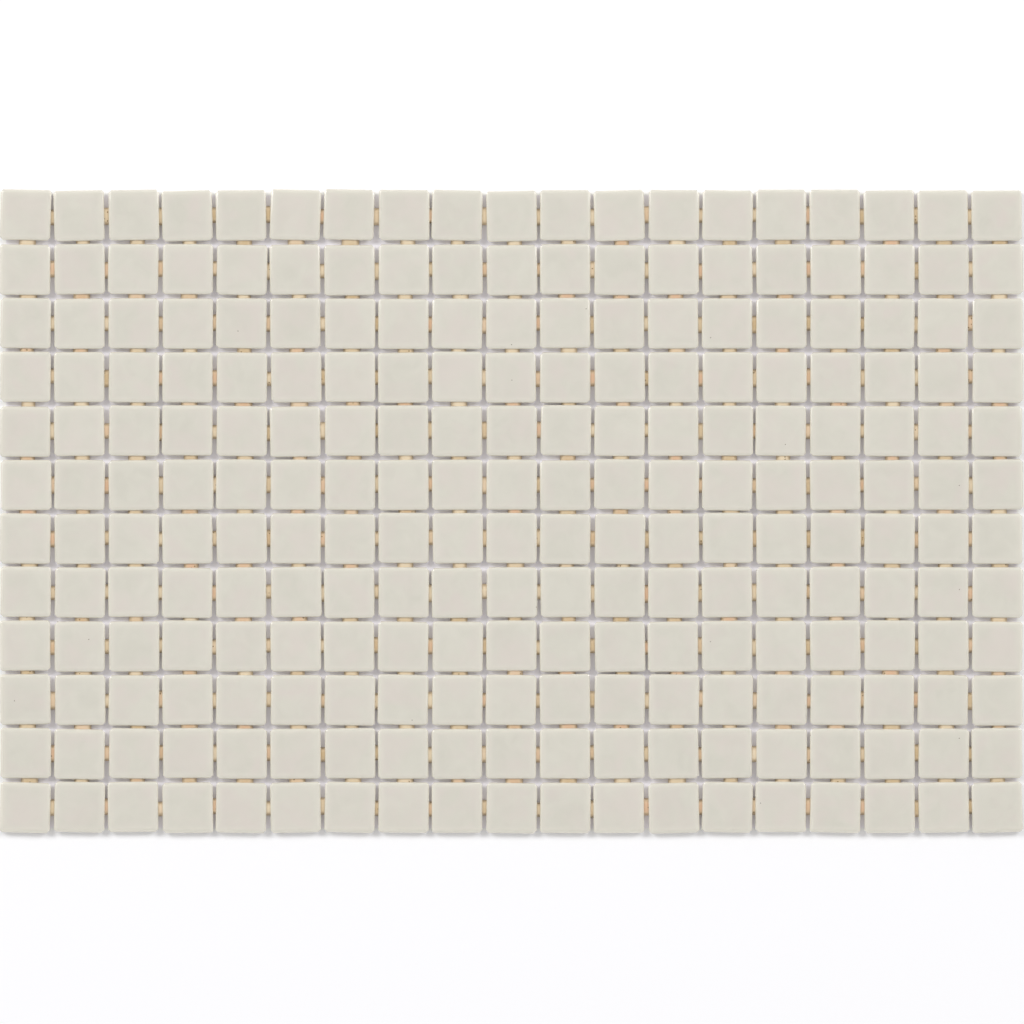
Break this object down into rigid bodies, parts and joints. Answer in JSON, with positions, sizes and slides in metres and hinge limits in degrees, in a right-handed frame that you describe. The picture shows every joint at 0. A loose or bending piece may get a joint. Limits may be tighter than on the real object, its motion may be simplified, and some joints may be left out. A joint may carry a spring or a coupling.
{
  "type": "mosaic tile sheet",
  "caption": "Sheet of small square glass mosaic tiles joined edge to edge by resin dots, laid flat, for bedding in adhesive on a wall, floor or pool.",
  "frame": {"origin": "middle of the sheet, on the plane of the tiles' backs", "axes": "+X along the sheet's long side, the rows; +Y across the rows, towards row 1; +Z out of the tiles' faces"},
  "size_m": [0.4944, 0.3113, 0.005],
  "materials": {
    "tile_glass": "glossy",
    "joint_resin": "satin"
  },
  "bodies": {
    "root": {"tiles_row_01": "tile_glass", "tiles_row_02": "tile_glass", "tiles_row_03": "tile_glass", "tiles_row_04": "tile_glass", "tiles_row_05": "tile_glass", "tiles_row_06": "tile_glass", "tiles_row_07": "tile_glass", "tiles_row_08": "tile_glass", "tiles_row_09": "tile_glass", "tiles_row_10": "tile_glass", "tiles_row_11": "tile_glass", "tiles_row_12": "tile_glass", "dots_in_row_01": "joint_resin", "dots_in_row_02": "joint_resin", "dots_in_row_03": "joint_resin", "dots_in_row_04": "joint_resin", "dots_in_row_05": "joint_resin", "dots_in_row_06": "joint_resin", "dots_in_row_07": "joint_resin", "dots_in_row_08": "joint_resin", "dots_in_row_09": "joint_resin", "dots_in_row_10": "joint_resin", "dots_in_row_11": "joint_resin", "dots_in_row_12": "joint_resin", "dots_under_row_01": "joint_resin", "dots_under_row_02": "joint_resin", "dots_under_row_03": "joint_resin", "dots_under_row_04": "joint_resin", "dots_under_row_05": "joint_resin", "dots_under_row_06": "joint_resin", "dots_under_row_07": "joint_resin", "dots_under_row_08": "joint_resin", "dots_under_row_09": "joint_resin", "dots_under_row_10": "joint_resin", "dots_under_row_11": "joint_resin"}
  },
  "joints": []
}
